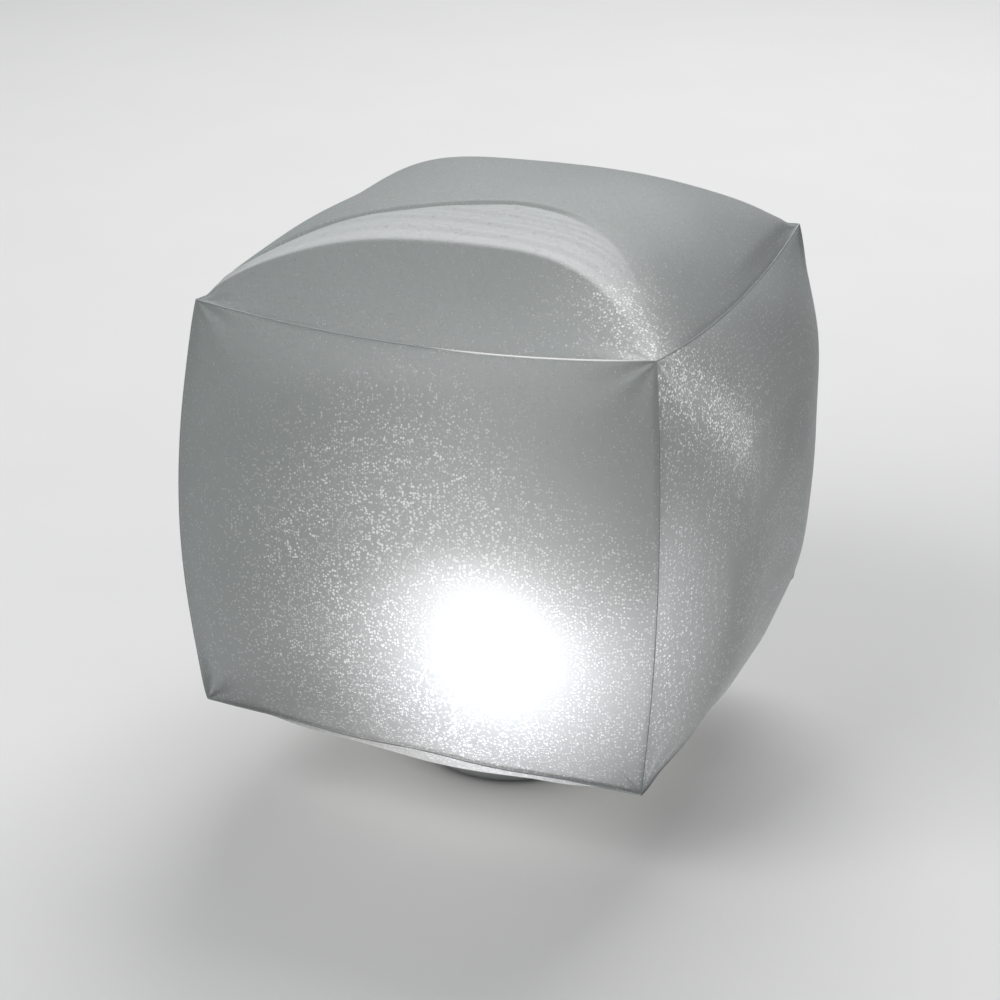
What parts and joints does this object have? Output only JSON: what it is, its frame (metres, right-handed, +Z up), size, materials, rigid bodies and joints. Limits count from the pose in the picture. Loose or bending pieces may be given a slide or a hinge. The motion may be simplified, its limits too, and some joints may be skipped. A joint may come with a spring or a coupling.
{
  "type": "inflatable cube light",
  "caption": "Inflated cube of frosted glitter film lit from inside by a round battery lamp that twists into a socket in its bottom panel.",
  "frame": {"origin": "centre of the lamp's standing ring, under the middle of the cube", "axes": "+Z up, -Y out of the front panel, +X out of the right panel"},
  "size_m": [0.2148, 0.2148, 0.2405],
  "materials": {
    "film": "frosted film with fine glitter",
    "clear_vinyl": "clear soft vinyl",
    "soft_white": "soft white vinyl",
    "white_shell": "white, fine grain",
    "opal_lens": "frosted opal",
    "white_gloss": "white gloss",
    "grey_button": "soft grey",
    "black_rubber": "matte",
    "steel": "nickel plated",
    "cell_jacket": "plain dark jacket",
    "black_plastic": "matte black",
    "circuit_board": "white solder mask",
    "led_lens": "yellowish resin",
    "red_sleeve": "red insulation",
    "black_sleeve": "black insulation"
  },
  "bodies": {
    "lamp": {"base_cover": "white_shell", "battery_cells": "cell_jacket", "battery_tray": "black_plastic", "black_lead": "black_sleeve", "board_parts": "black_plastic", "board_screws": "steel", "button_boot": "black_rubber", "contact_leaves": "steel", "contact_plates": "steel", "cover_screws": "steel", "cover_seal": "black_rubber", "lamp_body": "white_shell", "led_board": "circuit_board", "led_chips": "led_lens", "lens_bezel": "white_shell", "lens_dome": "opal_lens", "lens_seal": "black_rubber", "red_lead": "red_sleeve", "reflector": "white_gloss", "switch_board": "circuit_board", "switch_case": "black_plastic", "switch_leads": "red_sleeve"},
    "lock_ring": {"lock_ring": "white_shell"},
    "power_button": {"power_button": "grey_button", "switch_plunger": "black_plastic"},
    "inflatable": {"top_panel": "film", "front_panel": "film", "rear_panel": "film", "left_panel": "film", "right_panel": "film", "bottom_panel": "film", "weld_flanges": "film", "socket_ring": "soft_white", "lamp_pocket": "clear_vinyl", "valve_body": "clear_vinyl"},
    "valve_cap": {"valve_cap": "clear_vinyl"},
    "valve_flap": {"valve_flap": "clear_vinyl"}
  },
  "joints": [
    {"name": "lift_off", "type": "slide", "parent": "lamp", "child": "inflatable", "axis": [0, 0, 1], "range_m": [0, 0.06]},
    {"name": "lock_twist", "type": "hinge", "parent": "lamp", "child": "lock_ring", "pos_m": [0, 0, 0.013], "axis": [0, 0, 1], "range_deg": [0, 35]},
    {"name": "power_press", "type": "slide", "parent": "lamp", "child": "power_button", "axis": [0, 0, 1], "range_m": [0, 0.0007], "stiffness_N_per_m": 400, "springref_m": -0.001, "deforming": ["button_boot"]},
    {"name": "cap_swing", "type": "hinge", "parent": "inflatable", "child": "valve_cap", "pos_m": [0.0604, 0.0604, 0.02341], "axis": [0.7071, -0.7071, 0], "range_deg": [0, 130]},
    {"name": "flap_swing", "type": "hinge", "parent": "inflatable", "child": "valve_flap", "pos_m": [0.05335, 0.05335, 0.03657], "axis": [-0.7071, 0.7071, 0], "range_deg": [0, 45]}
  ]
}
